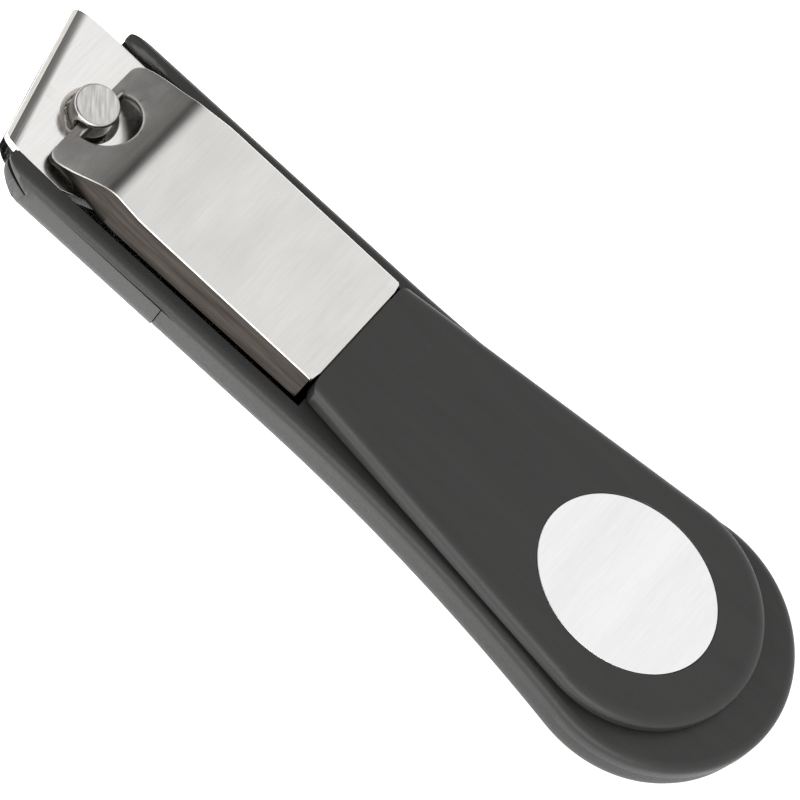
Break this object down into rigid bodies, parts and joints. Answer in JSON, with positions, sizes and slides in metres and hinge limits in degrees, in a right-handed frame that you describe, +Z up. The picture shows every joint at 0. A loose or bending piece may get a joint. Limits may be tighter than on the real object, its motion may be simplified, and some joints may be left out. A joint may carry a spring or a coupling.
{
  "type": "toenail clipper",
  "caption": "Compound-lever toenail clipper with slanted steel jaws, a dark plastic clippings casing and a stored folding lever with moulded grip.",
  "frame": {"origin": "centre of the object's box, on the flat underside of the casing that it lies on", "axes": "+X from the cutting edge to the tail, +Y to the side where the slanted edge reaches furthest forward, +Z up out of the lever's top"},
  "size_m": [0.085, 0.025, 0.0092],
  "materials": {
    "frame_plastic": "fine satin moulding",
    "tray_plastic": "fine satin moulding",
    "grip_plastic": "smooth satin",
    "blade_steel": "satin ground",
    "rivet_steel": "satin",
    "post_steel": "coarse ground top",
    "lever_steel": "fine crosswise brushing",
    "inlay_metal": "fine brushed"
  },
  "bodies": {
    "casing": {"casing_frame": "frame_plastic", "casing_tray": "tray_plastic", "lower_blade": "blade_steel", "rear_rivet": "rivet_steel"},
    "upper_jaw": {"upper_blade": "blade_steel"},
    "post": {"pivot_post": "post_steel"},
    "lever": {"lever_arm": "lever_steel", "lever_grip": "grip_plastic", "grip_inlay": "inlay_metal"}
  },
  "joints": [
    {"name": "jaw_close", "type": "hinge", "parent": "casing", "child": "upper_jaw", "pos_m": [0.01547, 0, 0.0023], "axis": [0, -1, 0], "range_deg": [0, 1.3], "stiffness_Nm_per_rad": 0.5},
    {"name": "post_turn", "type": "hinge", "parent": "casing", "child": "post", "pos_m": [-0.03513, 0, 0.0064], "axis": [0, 0, 1], "continuous": true},
    {"name": "lever_tilt", "type": "hinge", "parent": "post", "child": "lever", "pos_m": [-0.03483, 0, 0.0064], "axis": [0, -1, 0], "range_deg": [0, 150]}
  ]
}
